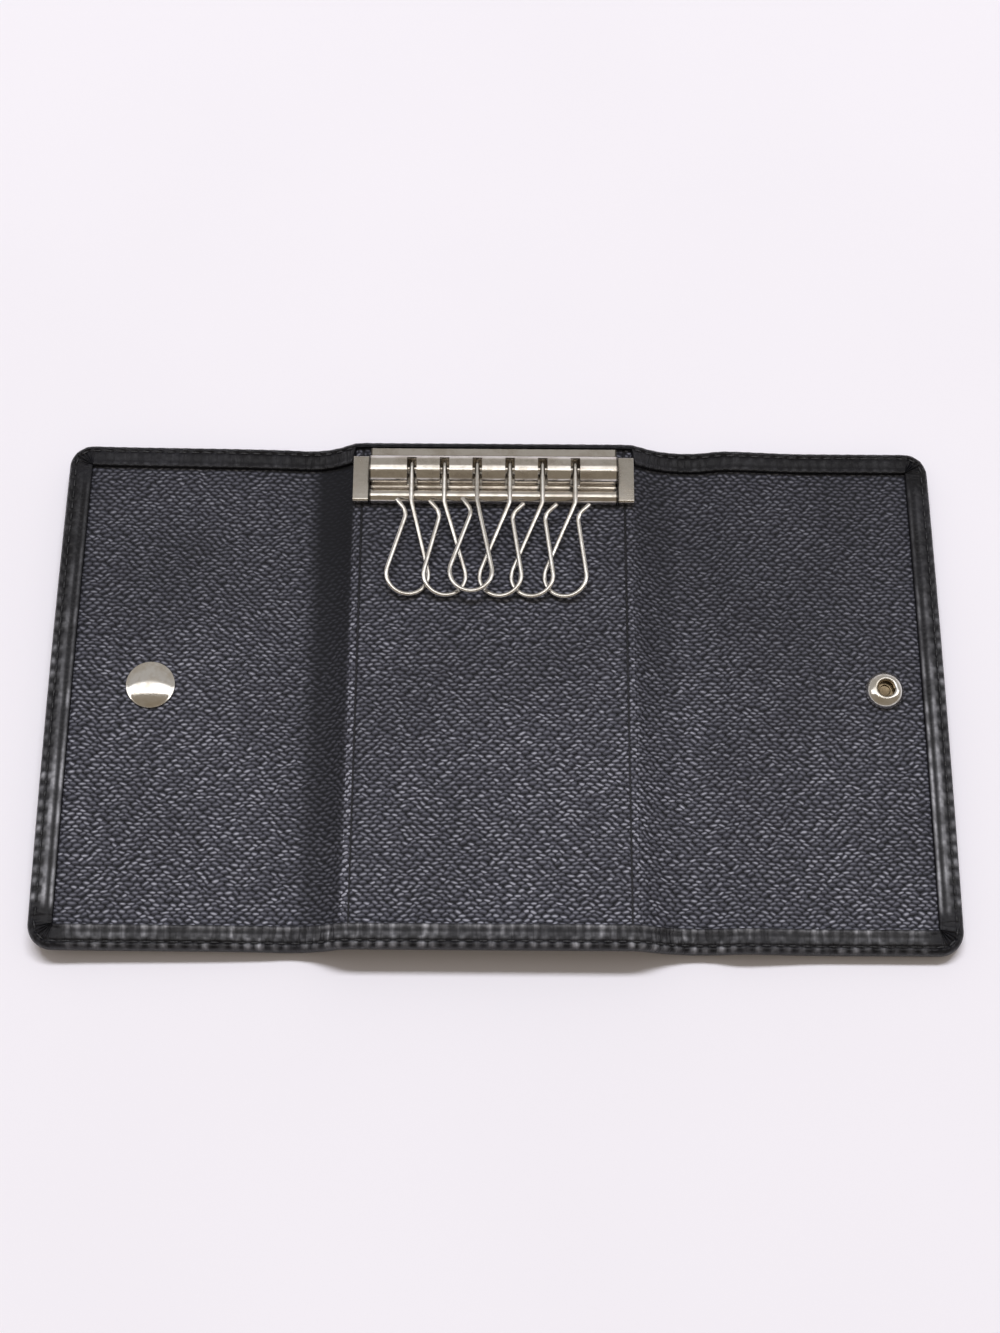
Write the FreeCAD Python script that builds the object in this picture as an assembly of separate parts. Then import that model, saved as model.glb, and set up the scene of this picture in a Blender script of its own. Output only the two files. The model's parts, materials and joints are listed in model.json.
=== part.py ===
import FreeCAD, Part
import math
import os
from FreeCAD import Vector

# Three-fold leather key case, lying open and seen from its lined side.
# Millimetres. X runs across the sheet, Y away from the viewer, Z up from the table.

# The sheet
sheet_depth = 109.0          # front edge to back edge
left_spine_chord = 13.4      # straight distance between the two left fold lines
left_flap_length = 48.2      # outer left fold line to the left edge
middle_lift = 4.3            # underside of the middle above the table
left_fold_rise = 0.35        # underside of the left flap at its fold line above the table
corner_radius = 5.0          # outer corners of the flaps, seen from above
edge_bevel = 0.8             # taken off along every turned edge
fold_gap = 0.1               # clearance across a fold line

# Layers of the sheet, from the outside in
cover_thickness = 1.1
board_thickness = 0.6
lining_thickness = 0.7
hem_thickness = 0.9          # cover leather turned over the lining
hem_width = 5.0              # the turned border
back_hem_width = 1.4         # the same border behind the rail
edge_wall = 1.1              # leather round the edge of the lining
layer_fit = 0.05             # clearance round the lining and the boards
board_inset = 2.1            # stiffener edge to the nearest fold line
pressed_line_width = 0.7     # line pressed in the lining along the stiffener's edge
pressed_line_depth = 0.25

# Snap fastener
left_snap_distance = 27.4    # outer left fold line to the snap
right_snap_setback = 12.7    # snap to the right edge
snap_cap_radius = 5.0
dome_bands = 4               # bevelled bands that round a cap
post_dome_height = 1.9
outer_cap_height = 1.4
cap_rim = 0.4                # straight rim of both caps
shank_radius = 0.9
snap_fit = 0.05              # clearance round shanks and eyelet
stud_flange_radius = 3.6
stud_flange_thickness = 0.4
stud_neck_radius = 1.45
stud_neck_length = 0.95
stud_head_radius = 1.8
stud_head_length = 0.7
socket_radius = 4.0
socket_height = 2.3
socket_plate = 0.3           # sheet that the socket is pressed from
socket_bevel = 0.6
socket_mouth_fit = 0.2       # clearance of the stud's head in the mouth
snap_seat_gap = 0.1          # socket's mouth above the stud's flange when shut
spring_wire_radius = 0.2
spring_neck_fit = 0.15       # spring clear of the stud's neck when shut
spring_opening = 60.0        # degrees left open in the spring ring
spring_sides = 6             # flats of the spring's wire
spring_seat_gap = 0.05       # spring under the socket's mouth
eyelet_radius = 1.6
eyelet_bore_radius = 1.1
eyelet_roll_radius = 2.2
eyelet_roll_thickness = 0.3

# Hook rail
rail_setback = 1.7           # back edge of the sheet to the rail's lip
rail_length = 52.4
rail_sheet = 0.5             # sheet that the rail is pressed from
base_thickness = 0.6
lip_depth = 2.3
ridge_radius = 3.3           # upper ridge, over the axle
ridge_spring_height = 1.5    # level where the upper ridge starts to round
groove_width = 0.65          # flat between the two ridges
front_ridge_half_width = 1.65
front_ridge_height = 2.4
lip_bevel = 0.2              # taken off the lip's back edge
cheek_thickness = 0.8
cheek_fit = 0.1
axle_radius = 0.6
axle_seat_fit = 0.02
axle_floor_gap = 0.1         # hook eyes above the base plate
slot_width = 2.0
slot_clearance = 0.2         # hook to the slot's back end when swung upright
slot_floor_gap = 0.3         # slot's lower end above the groove
rail_seat_gap = 0.05         # cover to lining and to the base plate

# End clips
clip_width = 3.4
clip_depth = 10.6
clip_height = 1.7
clip_round = 0.6
clip_foot = 1.4
clip_gap = 0.15              # clip to rail
clip_fit = 0.05
clip_forward = 1.8           # clip's middle in front of the axle
clip_margin = 0.2            # clip to the nearest fold line
prong_width = 0.8
prong_thickness = 0.5
prong_edge = 0.25            # prong to the clip's edge nearest the rail
clinch_length = 1.5
clinch_thickness = 0.33

# Hooks, one bent wire each
hook_count = 6
hook_pitch = 6.9
wire_radius = 0.5
wire_sides = 8               # flats of the hook wire
bend_step = 24.0             # degrees turned by each short run of a bend
eye_fit = 0.1                # eye round the axle
eye_turn = 250.0             # degrees of wire round the axle
arm_length = 7.2
arm_bend_angles = (14.0, 17.0, 12.0, 22.5, 23.5, 23.5)   # degrees, arm to long side, hook by hook
arm_bend_radius = 3.0
long_side = 15.0
loop_radius = 4.4
loop_turn = 211.5            # degrees
short_side = 11.3
neck_radius = 2.6
neck_turn = 55.0             # degrees
tip_length = 2.1
hook_droop_angles = (5.4, 5.1, 1.5, 4.1, 4.1, 4.1)       # degrees, resting on the lining or on a neighbour
hook_twist_angles = (10.0, 10.0, 0.0, 10.0, 10.0, 10.0)  # degrees, free side lifted over the next hook
turned_hooks = (4, 5, 6)     # these lean the other way

# Worked out from the sizes above
middle_width = rail_length + 2 * (clip_gap + clip_width + clip_margin)
panel_thickness = cover_thickness + board_thickness + lining_thickness + hem_thickness
lining_depth = hem_thickness
board_depth = lining_depth + lining_thickness
cover_depth = board_depth + board_thickness
half_depth = sheet_depth / 2
pocket_half = half_depth - edge_wall
fold_height = panel_thickness + middle_lift
stud_height = stud_flange_thickness + stud_neck_length + stud_head_length

# Shut, the right flap lies on the left one with the snap between them.
snap_stack = panel_thickness + stud_flange_thickness + snap_seat_gap + socket_height - lining_depth
right_spine_chord = left_spine_chord + snap_stack
right_snap_distance = middle_width - left_snap_distance
right_flap_length = right_snap_distance + right_snap_setback
right_fold_rise = outer_cap_height


def valley_arc(rise, chord):
    """Arc between two fold lines that dips to table level between them."""
    drop = middle_lift - rise
    run = math.sqrt(chord ** 2 - drop ** 2)
    valley = (middle_lift * run - chord * math.sqrt(middle_lift * rise)) / drop
    radius = (valley ** 2 / middle_lift + middle_lift) / 2
    return {"run": run, "drop": drop, "valley": valley, "radius": radius}


left_arc = valley_arc(left_fold_rise, left_spine_chord)
right_arc = valley_arc(right_fold_rise, right_spine_chord)

# The left flap tips up until its stud stands on the table; the right flap lies level on its cap.
stud_foot = left_snap_distance - stud_head_radius
stud_reach = math.hypot(stud_foot, panel_thickness + stud_height)
stud_angle = math.atan2(panel_thickness + stud_height, stud_foot)
left_slope = math.degrees(stud_angle - math.asin((panel_thickness + left_fold_rise) / stud_reach))
right_slope = 0.0


def flap_reach(length, slope):
    """How far a tipped flap reaches past its fold line, with its bevelled edge."""
    tip = math.radians(slope)
    return length * math.cos(tip) + (panel_thickness - edge_bevel) * math.sin(tip)


left_extent = left_arc["run"] + flap_reach(left_flap_length, left_slope)
right_extent = right_arc["run"] + flap_reach(right_flap_length, right_slope)
middle_x = (left_extent - right_extent) / 2
left_fold_x = middle_x - middle_width / 2
right_fold_x = middle_x + middle_width / 2
left_outer_fold = Vector(left_fold_x - left_arc["run"], 0, fold_height - left_arc["drop"])
right_outer_fold = Vector(right_fold_x + right_arc["run"], 0, fold_height - right_arc["drop"])

# Rail section, in Y and in height above the lining
lining_top = fold_height - lining_depth
lip_back = half_depth - rail_setback
lip_top = base_thickness + rail_sheet
axle_y = lip_back - lip_depth - ridge_radius
front_ridge_y = axle_y - ridge_radius - groove_width - front_ridge_half_width
rail_front = front_ridge_y - front_ridge_half_width
eye_radius = axle_radius + eye_fit + wire_radius
axle_z = base_thickness + axle_floor_gap + eye_radius + wire_radius
slot_back = eye_radius + wire_radius + slot_clearance
clip_y = axle_y - clip_forward
clip_x = rail_length / 2 + clip_gap
prong_x = clip_x + prong_edge
prong_out = clip_depth / 2 - (clip_foot - prong_thickness) / 2
far = 2 * sheet_depth


def box(x0, x1, y0, y1, z0, z1):
    return Part.makeBox(x1 - x0, y1 - y0, z1 - z0, Vector(x0, y0, z0))


def fuse(shapes):
    return shapes[0].multiFuse(shapes[1:]).removeSplitter()


def rod(radius, z0, z1, x=0.0, y=0.0):
    return Part.makeCylinder(radius, z1 - z0, Vector(x, y, z0))


def wire_section(radius, sides, way):
    """Flat-sided outline across a wire that runs the given way."""
    turn = FreeCAD.Rotation(Vector(0, 0, 1), way)
    corners = []
    for i in range(sides + 1):
        angle = 2 * math.pi * (i + 0.5) / sides
        corners.append(turn.multVec(Vector(radius * math.cos(angle), radius * math.sin(angle), 0)))
    return Part.makePolygon(corners)


def turned_sections(section, centre, axis, turn):
    """Copies of a section carried round a bend, one for each short run of it."""
    steps = math.ceil(abs(turn) / bend_step)
    found = []
    for i in range(steps):
        copy = section.copy()
        copy.rotate(centre, axis, turn * (i + 1) / steps)
        found.append(copy)
    return found


def level_edges(shape, levels, skip_x=None):
    """Edges that lie at one of the given heights, leaving out those at one X."""
    found = []
    for edge in shape.Edges:
        ends = edge.BoundBox
        level = any(max(abs(ends.ZMin - z), abs(ends.ZMax - z)) < 1e-6 for z in levels)
        skipped = skip_x is not None and max(abs(ends.XMin - skip_x), abs(ends.XMax - skip_x)) < 1e-6
        if level and not skipped:
            found.append(edge)
    return found


def upright_edges(shape, x):
    """Edges that stand upright at one X."""
    return [e for e in shape.Edges if e.BoundBox.ZLength > 0.5 and abs(e.BoundBox.XMin - x) < 1e-6]


# Flaps. Each is built lying level, from its fold line at the origin out along +X,
# with the top of its hem at height zero.
overrun = 1.0


def flap_plate(start, length, inset, top, bottom):
    """Level plate inside the flap's outline, with round outer corners."""
    half = half_depth - inset
    plate = box(start, length - inset, -half, half, -bottom, -top)
    return plate.makeFillet(corner_radius - inset, upright_edges(plate, length - inset))


def flap_layers(length, snap_x, hole_radius):
    """Cover with its turned hem, stiffener and lining of one flap."""
    bore = rod(hole_radius, -2 * panel_thickness, panel_thickness, snap_x)
    block = flap_plate(-overrun, length, 0, 0, panel_thickness)
    block = block.makeChamfer(edge_bevel, level_edges(block, (0, -panel_thickness), -overrun))
    window_half = half_depth - hem_width
    window = box(-far, length - hem_width, -window_half, window_half, -lining_depth, panel_thickness)
    lining_pocket = flap_plate(-2 * overrun, length, edge_wall, lining_depth, board_depth)
    board_pocket = flap_plate(board_inset, length, edge_wall, board_depth, cover_depth)
    fit = edge_wall + layer_fit
    cover = block.cut(fuse([window, lining_pocket, board_pocket, bore]))
    lining = flap_plate(-overrun, length, fit, lining_depth, board_depth).cut(bore)
    board = flap_plate(board_inset + layer_fit, length, fit, board_depth, cover_depth).cut(bore)
    return {"cover": cover, "lining": lining, "stiffener": board}


def set_flap(shape, side, slope, fold):
    """Tip a level piece up by its slope and set it at its fold line, left or right."""
    tipped = shape.copy()
    tipped.rotate(Vector(0, 0, 0), Vector(0, -1, 0), slope)
    if side < 0:
        tipped = tipped.mirror(Vector(0, 0, 0), Vector(1, 0, 0))
    tipped.translate(fold)
    return tipped


def trim_flap(shape, side, fold):
    """Cut a placed flap layer off at its fold line."""
    inner = fold.x + side * fold_gap / 2
    waste = box(min(inner, inner - side * far), max(inner, inner - side * far), -far, far, -far, far)
    return shape.cut(waste)


# Spines. Each is a strip bent along its valley arc, built from the inner fold line out along +X,
# with the top of its hem starting at height zero.
def spine_strip(arc, top, bottom, half):
    """Bent strip between two depths below the hem."""
    centre = Vector(arc["valley"], -half, arc["radius"] - middle_lift)
    outer = Part.makeCylinder(arc["radius"] + bottom, 2 * half, centre, Vector(0, 1, 0))
    inner = Part.makeCylinder(arc["radius"] + top, 2 * half, centre, Vector(0, 1, 0))
    span = box(fold_gap / 2, arc["run"] - fold_gap / 2, -half, half, -far, centre.z)
    return outer.cut(inner).common(span)


def spine_layers(arc):
    """Cover with its turned hems, and lining, of one spine."""
    block = spine_strip(arc, 0, panel_thickness, half_depth)
    rims = [e for e in block.Edges if isinstance(e.Curve, Part.Circle)]
    block = block.makeChamfer(edge_bevel, rims)
    window = spine_strip(arc, -panel_thickness, lining_depth, half_depth - hem_width)
    pocket = spine_strip(arc, lining_depth, board_depth, pocket_half)
    cover = block.cut(fuse([window, pocket]))
    lining = spine_strip(arc, lining_depth, board_depth, pocket_half - layer_fit)
    return {"cover": cover, "lining": lining}


def set_spine(shape, side, fold_x):
    placed = shape.copy()
    if side < 0:
        placed = placed.mirror(Vector(0, 0, 0), Vector(1, 0, 0))
    placed.translate(Vector(fold_x, 0, fold_height))
    return placed


# Middle panel, built about its own centre with the lining's top at height zero.
def prongs(grow):
    """Clip prongs and their bent ends under the stiffener; grow widens them into holes."""
    legs = []
    for side in (-1, 1):
        for end in (-1, 1):
            x0, x1 = sorted((side * prong_x, side * (prong_x + prong_width)))
            y = clip_y + end * prong_out
            y0 = y - prong_thickness / 2
            y1 = y + prong_thickness / 2
            low = lining_depth - cover_depth
            legs.append(box(x0 - grow, x1 + grow, y0 - grow, y1 + grow, low, 0))
            inward = y - end * clinch_length
            c0, c1 = sorted((y + end * prong_thickness / 2, inward))
            legs.append(box(x0 - grow, x1 + grow, c0 - grow, c1 + grow, low, low + clinch_thickness + grow))
    return legs


def middle_layers():
    """Cover with its front and back hems, stiffener and lining of the middle."""
    half_width = middle_width / 2 - fold_gap / 2
    top = lining_depth
    low = lining_depth - panel_thickness
    block = box(-half_width, half_width, -half_depth, half_depth, low, top)
    long_edges = [e for e in block.Edges if e.BoundBox.XLength > half_width]
    block = block.makeChamfer(edge_bevel, long_edges)
    window = box(-far, far, hem_width - half_depth, half_depth - back_hem_width, 0, far)
    lining_low = lining_depth - board_depth
    board_low = lining_depth - cover_depth
    lining_pocket = box(-far, far, -pocket_half, pocket_half, lining_low, 0)
    board_half = middle_width / 2 - board_inset
    board_pocket = box(-board_half, board_half, -pocket_half, pocket_half, board_low, lining_low)
    cover = block.cut(fuse([window, lining_pocket, board_pocket]))
    inner = pocket_half - layer_fit
    board_x = board_half - layer_fit
    holes = fuse(prongs(layer_fit))
    board = box(-board_x, board_x, -inner, inner, board_low, lining_low).cut(holes)
    lining = box(-half_width, half_width, -inner, inner, lining_low, 0).cut(holes)
    for side in (-1, 1):
        line_x = side * board_half
        reach = pressed_line_width / 2
        line = box(line_x - reach, line_x + reach, -far, far, -pressed_line_depth, pressed_line_depth)
        lining = lining.cut(line)
    return {"cover": cover, "lining": lining, "stiffener": board}


# Snap fastener, each piece built about Z with the face it is set on at height zero.
def dome(radius, height, rim):
    """Cap that rounds up in bevelled bands from a straight rim."""
    crown = height - rim
    ball_radius = (radius ** 2 + crown ** 2) / (2 * crown)
    spread = math.asin(radius / ball_radius)
    bands = [rod(radius, 0, rim)]
    for i in range(dome_bands):
        low = spread * (1 - i / dome_bands)
        high = spread * (1 - (i + 1) / dome_bands)
        z0 = height - ball_radius + ball_radius * math.cos(low)
        z1 = height - ball_radius + ball_radius * math.cos(high)
        bands.append(Part.makeCone(ball_radius * math.sin(low), ball_radius * math.sin(high), z1 - z0, Vector(0, 0, z0)))
    return fuse(bands)


def snap_post():
    """Domed head on the lining; its shank runs through the flap and is set in the stud."""
    head = dome(snap_cap_radius, post_dome_height, cap_rim)
    foot = lining_depth - panel_thickness - stud_height
    return fuse([head, rod(shank_radius, foot, 0)])


def snap_stud():
    """Flange, neck and rolled head that stand down from the left flap's outer face."""
    top = lining_depth - panel_thickness
    flange_low = top - stud_flange_thickness
    neck_low = flange_low - stud_neck_length
    low = top - stud_height
    flange = rod(stud_flange_radius, flange_low, top)
    neck = rod(stud_neck_radius, neck_low, flange_low)
    head = rod(stud_head_radius, low, neck_low)
    head = head.makeChamfer(stud_head_length / 3, level_edges(head, (low, neck_low)))
    return fuse([flange, neck, head]).cut(rod(shank_radius + snap_fit, low, top))


def snap_socket():
    """Pressed cup on the right flap's lining, with a mouth for the stud's head."""
    cup = rod(socket_radius, 0, socket_height)
    cup = cup.makeChamfer(socket_bevel, level_edges(cup, (socket_height,)))
    inside = rod(socket_radius - socket_plate, socket_plate, socket_height - socket_plate)
    inside = inside.makeChamfer(socket_bevel, level_edges(inside, (socket_height - socket_plate,)))
    mouth = rod(stud_head_radius + socket_mouth_fit, socket_plate, 2 * socket_height)
    return cup.cut(fuse([inside, mouth, rod(eyelet_radius + snap_fit, -socket_plate, socket_height)]))


def snap_spring():
    """Open wire ring held under the socket's mouth, which grips the stud's neck."""
    ring_radius = stud_neck_radius + spring_neck_fit + spring_wire_radius
    height = socket_height - socket_plate - spring_seat_gap - spring_wire_radius
    section = wire_section(spring_wire_radius, spring_sides, Vector(0, 1, 0))
    section.translate(Vector(ring_radius, 0, height))
    rest = turned_sections(section, Vector(0, 0, 0), Vector(0, 0, 1), 360 - spring_opening)
    return Part.makeLoft([section] + rest, True, True)


def outer_cap():
    """Cap on the right flap's outer face, with an eyelet rolled over inside the socket."""
    outside = lining_depth - panel_thickness
    head = dome(snap_cap_radius, outer_cap_height, cap_rim)
    head = head.mirror(Vector(0, 0, 0), Vector(0, 0, 1))
    head.translate(Vector(0, 0, outside))
    tube = rod(eyelet_radius, outside, socket_plate)
    roll = rod(eyelet_roll_radius, socket_plate, socket_plate + eyelet_roll_thickness)
    bore = rod(eyelet_bore_radius, outside, far)
    return fuse([head, fuse([tube, roll]).cut(bore)])


# Hook rail, built about the middle's centre with the lining's top at height zero.
def cover_outline(inset):
    """Rail section from the back lip to the front wall, taken inside the outer face by inset."""
    level = lip_top - inset
    upper = ridge_radius - inset
    lower = front_ridge_half_width - inset
    edges = []

    def line(a, b):
        if a.distanceToPoint(b) > 1e-6:
            edges.append(Part.makeLine(a, b))

    def arch(y, half, spring, top):
        start = Vector(0, y + half, spring)
        end = Vector(0, y - half, spring)
        line(Vector(0, y + half, level), start)
        edges.append(Part.Arc(start, Vector(0, y, top), end).toShape())
        return end

    foot = Vector(0, axle_y + upper, level)
    line(Vector(0, lip_back, level), foot)
    end = arch(axle_y, upper, ridge_spring_height, ridge_spring_height + upper)
    line(end, Vector(0, end.y, level))
    line(Vector(0, end.y, level), Vector(0, front_ridge_y + lower, level))
    end = arch(front_ridge_y, lower, lip_top, front_ridge_height - inset)
    line(end, Vector(0, end.y, rail_seat_gap))
    return edges


def hook_positions():
    return [(i - (hook_count - 1) / 2) * hook_pitch for i in range(hook_count)]


def rail_cover():
    """Pressed cover: flat lip, slotted upper ridge, groove and front ridge."""
    outer = cover_outline(0)
    inner = cover_outline(rail_sheet)
    back = Part.makeLine(inner[0].Vertexes[0].Point, outer[0].Vertexes[0].Point)
    front = Part.makeLine(outer[-1].Vertexes[-1].Point, inner[-1].Vertexes[-1].Point)
    section = Part.Face(Part.Wire(Part.__sortEdges__([back] + outer + [front] + inner)))
    section.translate(Vector(-rail_length / 2, 0, 0))
    cover = section.extrude(Vector(rail_length, 0, 0))
    sharp = []
    for edge in cover.Edges:
        place = edge.BoundBox
        on_lip = abs(place.YMin - lip_back) < 1e-6 and abs(place.ZMin - lip_top) < 1e-6
        if place.XLength > rail_length / 2 and on_lip:
            sharp.append(edge)
    cover = cover.makeChamfer(lip_bevel, sharp)
    slots = []
    for x in hook_positions():
        y0 = axle_y - ridge_radius - groove_width / 2
        slots.append(box(x - slot_width / 2, x + slot_width / 2, y0, axle_y + slot_back,
                         lip_top + slot_floor_gap, far))
    return cover.cut(fuse(slots))


def rail_base():
    """Plate under the cover, with a cheek at each end for the axle and a tongue for each clip."""
    half = rail_length / 2
    front = rail_front + rail_sheet + rail_seat_gap
    plate = box(-half, half, front, lip_back, 0, base_thickness)
    tongue_half = clip_depth / 2 - clip_foot - clip_fit
    reach = clip_x + clip_width
    tongue = box(-reach, reach, clip_y - tongue_half, clip_y + tongue_half, 0, base_thickness)
    width = ridge_radius - rail_sheet - cheek_fit
    cheeks = []
    for side in (-1, 1):
        x0, x1 = sorted((side * half, side * (half - cheek_thickness)))
        wall = box(x0, x1, axle_y - width, axle_y + width, 0, ridge_spring_height)
        crown = Part.makeCylinder(width, x1 - x0, Vector(x0, axle_y, ridge_spring_height), Vector(1, 0, 0))
        cheeks.append(wall.fuse(crown.common(box(-far, far, -far, far, base_thickness, far))))
    seat = Part.makeCylinder(axle_radius + axle_seat_fit, far, Vector(-far / 2, axle_y, axle_z), Vector(1, 0, 0))
    return fuse([plate, tongue] + cheeks).cut(seat)


def rail_axle():
    return Part.makeCylinder(axle_radius, rail_length, Vector(-rail_length / 2, axle_y, axle_z), Vector(1, 0, 0))


def end_clip(side):
    """Strap over a tongue of the base, with two prongs bent over under the stiffener."""
    x0, x1 = sorted((side * clip_x, side * (clip_x + clip_width)))
    half = clip_depth / 2
    strap = box(x0, x1, clip_y - half, clip_y + half, 0, clip_height)
    rims = [e for e in level_edges(strap, (clip_height,)) if e.BoundBox.XLength > clip_width / 2]
    strap = strap.makeFillet(clip_round, rims)
    inner = half - clip_foot
    strap = strap.cut(box(-far, far, clip_y - inner, clip_y + inner, -far, base_thickness + clip_fit))
    own = [leg for leg in prongs(0) if leg.BoundBox.Center.x * side > 0]
    return fuse([strap] + own)


# Hooks, built with the axle along X through the origin and the arm lying along -Y.
def bent_sections(section, moves, place, right, ahead):
    """Sections along a wire bent in one plane; a positive turn is to the left of the way ahead."""
    up = right.cross(ahead)
    found = [section]
    for length, radius, turn in moves:
        if radius == 0:
            moved = found[-1].copy()
            moved.translate(ahead * length)
            found.append(moved)
            place = place + ahead * length
        else:
            centre = place - right * math.copysign(radius, turn)
            found += turned_sections(found[-1], centre, up, turn)
            spin = FreeCAD.Rotation(up, turn)
            place = centre + spin.multVec(place - centre)
            right = spin.multVec(right)
            ahead = spin.multVec(ahead)
    return found


def hook(number):
    """One wire: eye round the axle, arm, loop and a free tip that springs against the rail."""
    lean = -1 if number in turned_hooks else 1
    arm_bend = arm_bend_angles[number - 1]
    droop = hook_droop_angles[number - 1]
    twist = hook_twist_angles[number - 1]
    moves = [
        (arm_length, 0, 0),
        (0, arm_bend_radius, lean * arm_bend),
        (long_side, 0, 0),
        (0, loop_radius, -lean * loop_turn),
        (short_side, 0, 0),
        (0, neck_radius, lean * neck_turn),
        (tip_length, 0, 0),
    ]
    ahead = Vector(0, -1, 0)
    right = FreeCAD.Rotation(ahead, -lean * twist).multVec(Vector(-1, 0, 0))
    top = Vector(0, 0, eye_radius)
    section = wire_section(wire_radius, wire_sides, ahead)
    section.translate(top)
    eye = turned_sections(section, Vector(0, 0, 0), Vector(-1, 0, 0), eye_turn)
    wire = Part.makeLoft(eye[::-1] + bent_sections(section, moves, top, right, ahead), True, True)
    wire.rotate(Vector(0, 0, 0), Vector(1, 0, 0), droop)
    return wire


# The assembly
pieces = {}

for name, shape in middle_layers().items():
    shape.translate(Vector(middle_x, 0, lining_top))
    pieces["middle_" + name] = shape

rail_pieces = {
    "rail_base": rail_base(),
    "rail_cover": rail_cover(),
    "rail_axle": rail_axle(),
    "end_clip_left": end_clip(-1),
    "end_clip_right": end_clip(1),
}
for index, x in enumerate(hook_positions()):
    wire = hook(index + 1)
    wire.translate(Vector(x, axle_y, axle_z))
    rail_pieces["hook_%d" % (index + 1)] = wire
for name, shape in rail_pieces.items():
    shape.translate(Vector(middle_x, 0, lining_top))
    pieces[name] = shape

sides = (
    ("left", -1, left_arc, left_fold_x, left_flap_length, left_snap_distance,
     left_slope, left_outer_fold, shank_radius),
    ("right", 1, right_arc, right_fold_x, right_flap_length, right_snap_distance,
     right_slope, right_outer_fold, eyelet_radius),
)
for label, side, arc, fold_x, length, snap_x, slope, fold, shank in sides:
    for name, shape in spine_layers(arc).items():
        pieces["%s_spine_%s" % (label, name)] = set_spine(shape, side, fold_x)
    for name, shape in flap_layers(length, snap_x, shank + snap_fit).items():
        placed = set_flap(shape, side, slope, fold)
        pieces["%s_flap_%s" % (label, name)] = trim_flap(placed, side, fold)

snap_pieces = (
    ("left_snap_post", snap_post(), sides[0]),
    ("snap_stud", snap_stud(), sides[0]),
    ("snap_socket", snap_socket(), sides[1]),
    ("snap_spring", snap_spring(), sides[1]),
    ("right_snap_cap", outer_cap(), sides[1]),
)
for name, shape, setting in snap_pieces:
    label, side, arc, fold_x, length, snap_x, slope, fold, shank = setting
    shape.translate(Vector(snap_x, 0, -lining_depth))
    pieces[name] = set_flap(shape, side, slope, fold)

os.makedirs("parts", exist_ok=True)
for name, shape in pieces.items():
    shape.exportStep("parts/%s.step" % name)
    print("%-22s %8.2f mm3  valid %s  solids %d" % (name, shape.Volume, shape.isValid(), len(shape.Solids)))
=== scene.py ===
import json
from functools import partial
from math import asin, ceil, copysign, cos, exp, hypot, pi, radians, sin, sqrt

import bmesh
import bpy
import numpy as np
from mathutils import Matrix, Vector


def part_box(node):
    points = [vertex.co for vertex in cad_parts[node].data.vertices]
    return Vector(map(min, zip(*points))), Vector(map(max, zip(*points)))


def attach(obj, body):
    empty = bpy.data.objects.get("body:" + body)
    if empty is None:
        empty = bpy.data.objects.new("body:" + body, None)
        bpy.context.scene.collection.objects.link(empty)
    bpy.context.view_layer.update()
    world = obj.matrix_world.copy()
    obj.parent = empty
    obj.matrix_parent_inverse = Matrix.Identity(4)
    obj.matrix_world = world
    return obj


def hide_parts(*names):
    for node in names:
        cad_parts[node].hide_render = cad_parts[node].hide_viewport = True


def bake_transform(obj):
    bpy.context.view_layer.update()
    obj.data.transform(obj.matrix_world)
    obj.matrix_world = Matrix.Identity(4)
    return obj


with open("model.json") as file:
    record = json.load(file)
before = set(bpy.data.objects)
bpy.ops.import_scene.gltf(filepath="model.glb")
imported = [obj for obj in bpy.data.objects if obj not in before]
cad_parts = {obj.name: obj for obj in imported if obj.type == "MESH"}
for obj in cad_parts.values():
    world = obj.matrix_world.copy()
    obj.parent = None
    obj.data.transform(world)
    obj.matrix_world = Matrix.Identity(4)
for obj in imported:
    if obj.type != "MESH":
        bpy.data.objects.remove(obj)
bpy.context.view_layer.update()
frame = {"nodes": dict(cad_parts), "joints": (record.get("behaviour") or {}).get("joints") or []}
joints = {j["name"]: j for j in frame["joints"]}
nodes = frame["nodes"]
mm = 0.001
tiny = 1e-6
print("frame loaded:", len(nodes), "nodes")


# small helpers for node trees; a value is another node's output, to be linked, or a constant
def linked(value):
    return isinstance(value, bpy.types.NodeSocket)


def feed(node, values):
    for key, value in values.items():
        if linked(value):
            node.id_data.links.new(value, node.inputs[key])
        else:
            node.inputs[key].default_value = value


def addNode(tree, kind, values=None, **settings):
    node = tree.nodes.new(kind)
    for key, value in settings.items():
        setattr(node, key, value)
    feed(node, values or {})
    return node


def follow(kind, values, **settings):
    # a shader node in the tree that its linked values come from
    tree = next(value.id_data for value in values.values() if linked(value))
    return addNode(tree, "ShaderNode" + kind, values, **settings)


def calc(operation, *terms):
    return follow("Math", dict(enumerate(terms)), operation=operation).outputs[0]


times, plus, minus = (partial(calc, name) for name in ("MULTIPLY", "ADD", "SUBTRACT"))


def ramp(value, low, high, start=0.0, end=1.0):
    # goes softly from start to end while the value goes from low to high
    values = {"Value": value, "From Min": low, "From Max": high, "To Min": start, "To Max": end}
    return follow("MapRange", values, interpolation_type="SMOOTHSTEP").outputs[0]


def blendColours(share, first, second):
    return follow("Mix", {0: share, 6: first, 7: second}, data_type="RGBA").outputs[2]


def noise(where, scale, detail=2.0, rough=0.5, size="3D"):
    values = {"Vector": where, "Scale": scale, "Detail": detail, "Roughness": rough}
    return follow("TexNoise", values, noise_dimensions=size).outputs[0]


def axes(vector):
    return follow("SeparateXYZ", {0: vector}).outputs


def vectorCalc(operation, values):
    return follow("VectorMath", values, operation=operation).outputs[0]


def objectPlace(tree):
    return addNode(tree, "ShaderNodeTexCoord").outputs["Object"]


def bumped(strength, distance, height):
    return follow("Bump", {"Strength": strength, "Distance": distance, "Height": height}).outputs[0]


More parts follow.
